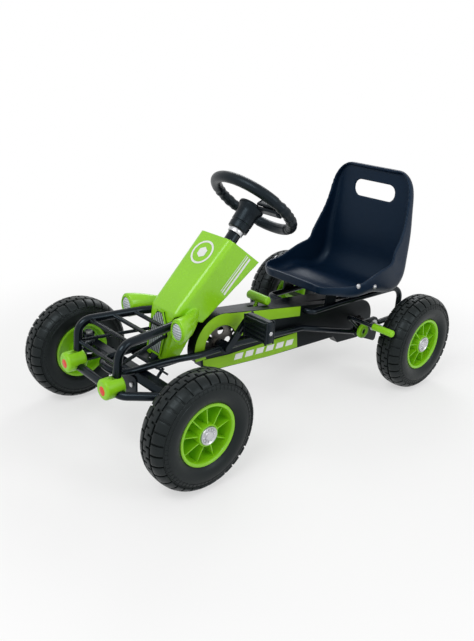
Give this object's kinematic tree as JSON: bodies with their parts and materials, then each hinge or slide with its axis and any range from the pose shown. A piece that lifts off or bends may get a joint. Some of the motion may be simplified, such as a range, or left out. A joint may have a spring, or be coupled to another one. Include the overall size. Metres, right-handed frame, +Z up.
{
  "type": "pedal go kart",
  "caption": "Child's chain-driven pedal go kart with moulded bucket seat, steering linkage, nose fairing, twin headlights, chain guard and air-filled tyres.",
  "frame": {"origin": "on the ground under the middle of the whole kart's box", "axes": "+Z up, -Y the way the kart drives, +X the driver's left, the chain guard's side"},
  "size_m": [0.575, 1.0049, 0.5839],
  "materials": {
    "tyre": "matte",
    "rim_green": "satin",
    "zinc": "satin",
    "frame_black": "gloss",
    "dark_steel": "satin",
    "black_plastic": "satin",
    "seat_navy": "matte",
    "green_gloss": "gloss",
    "green_plastic": "satin",
    "lens": "gloss",
    "reflector_red": "gloss"
  },
  "bodies": {
    "frame": {"column_collar": "zinc", "rear_axle_bearings": "zinc", "frame_bolts": "zinc", "kingpins": "zinc", "chain": "zinc", "steering_column": "frame_black", "main_beam": "frame_black", "lower_frame_loop": "frame_black", "column_web": "frame_black", "front_axle_beam": "frame_black", "front_mount_plate": "frame_black", "bumper_tube_left": "frame_black", "bumper_tube_right": "frame_black", "bumper_rods": "frame_black", "bumper_bar": "frame_black", "rear_axle_plates": "frame_black", "seat_hoop_left": "frame_black", "seat_hoop_right": "frame_black", "seat_brackets": "frame_black", "column_bushes": "black_plastic", "crank_bushes": "black_plastic", "beam_end_cap": "black_plastic", "chain_guard": "black_plastic", "grille": "black_plastic", "seat_shell": "seat_navy", "fairing_shell": "green_gloss", "bumper_caps": "green_plastic", "guard_trim": "green_plastic", "headlight_lenses": "lens", "bumper_reflectors": "reflector_red"},
    "steering": {"steering_shaft": "dark_steel", "steering_hub": "black_plastic", "steering_ring": "black_plastic", "pitman_plate": "frame_black"},
    "knuckle_left": {"steering_knuckle_left": "frame_black"},
    "knuckle_right": {"steering_knuckle_right": "frame_black"},
    "track_rod": {"track_rod": "frame_black"},
    "front_wheel_left": {"front_tyre_left": "tyre", "front_rim_left": "rim_green", "front_bearings_left": "zinc", "front_hub_cap_left": "zinc"},
    "front_wheel_right": {"front_tyre_right": "tyre", "front_rim_right": "rim_green", "front_bearings_right": "zinc", "front_hub_cap_right": "zinc"},
    "rear_wheels": {"rear_tyre_left": "tyre", "rear_tyre_right": "tyre", "rear_rim_left": "rim_green", "rear_rim_right": "rim_green", "rear_hub_caps": "zinc", "rear_axle": "dark_steel", "rear_sprocket": "zinc"},
    "crankset": {"crank": "frame_black", "chainring": "zinc"},
    "pedal_left": {"pedal_left": "black_plastic"},
    "pedal_right": {"pedal_right": "black_plastic"},
    "gear_lever": {"gear_lever": "green_plastic"},
    "brake": {"brake_lever": "frame_black", "brake_grip": "green_plastic", "brake_knob": "green_plastic"}
  },
  "joints": [
    {"name": "steering_turn", "type": "hinge", "parent": "frame", "child": "steering", "pos_m": [0, -0.02475, 0.501], "axis": [0, 0.6561, 0.7547], "range_deg": [-30, 30]},
    {"name": "knuckle_left_turn", "type": "hinge", "parent": "frame", "child": "knuckle_left", "pos_m": [0.185, -0.37725, 0.1655], "axis": [0, 0, 1], "range_deg": [-20, 20]},
    {"name": "knuckle_right_turn", "type": "hinge", "parent": "frame", "child": "knuckle_right", "pos_m": [-0.185, -0.37725, 0.1655], "axis": [0, 0, 1], "range_deg": [-20, 20]},
    {"name": "track_rod_pivot", "type": "hinge", "parent": "knuckle_left", "child": "track_rod", "pos_m": [0.185, -0.31725, 0.127], "axis": [0, 0, 1], "range_deg": [-20, 20]},
    {"name": "front_wheel_left_spin", "type": "hinge", "parent": "knuckle_left", "child": "front_wheel_left", "pos_m": [0.2475, -0.37725, 0.13], "axis": [1, 0, 0], "continuous": true},
    {"name": "front_wheel_right_spin", "type": "hinge", "parent": "knuckle_right", "child": "front_wheel_right", "pos_m": [-0.2475, -0.37725, 0.13], "axis": [1, 0, 0], "continuous": true},
    {"name": "rear_axle_spin", "type": "hinge", "parent": "frame", "child": "rear_wheels", "pos_m": [0, 0.36775, 0.13], "axis": [1, 0, 0], "continuous": true},
    {"name": "crank_spin", "type": "hinge", "parent": "frame", "child": "crankset", "pos_m": [0, -0.16175, 0.188], "axis": [1, 0, 0], "continuous": true},
    {"name": "pedal_left_spin", "type": "hinge", "parent": "crankset", "child": "pedal_left", "pos_m": [0.13, -0.10992, 0.24358], "axis": [1, 0, 0], "continuous": true},
    {"name": "pedal_right_spin", "type": "hinge", "parent": "crankset", "child": "pedal_right", "pos_m": [-0.13, -0.21358, 0.13242], "axis": [1, 0, 0], "continuous": true},
    {"name": "gear_lever_tilt", "type": "hinge", "parent": "frame", "child": "gear_lever", "pos_m": [0, -0.00825, 0.216], "axis": [1, 0, 0], "range_deg": [0, 30]},
    {"name": "brake_lever_turn", "type": "hinge", "parent": "frame", "child": "brake", "pos_m": [0.116, 0.30025, 0.133], "axis": [1, 0, 0], "range_deg": [-12, 4]}
  ],
  "couplings": [
    {"joint": "knuckle_left_turn", "follows": "steering_turn", "ratio": 0.6154},
    {"joint": "knuckle_right_turn", "follows": "steering_turn", "ratio": 0.6154},
    {"joint": "track_rod_pivot", "follows": "steering_turn", "ratio": -0.6154},
    {"joint": "crank_spin", "follows": "rear_axle_spin", "ratio": 0.5}
  ]
}
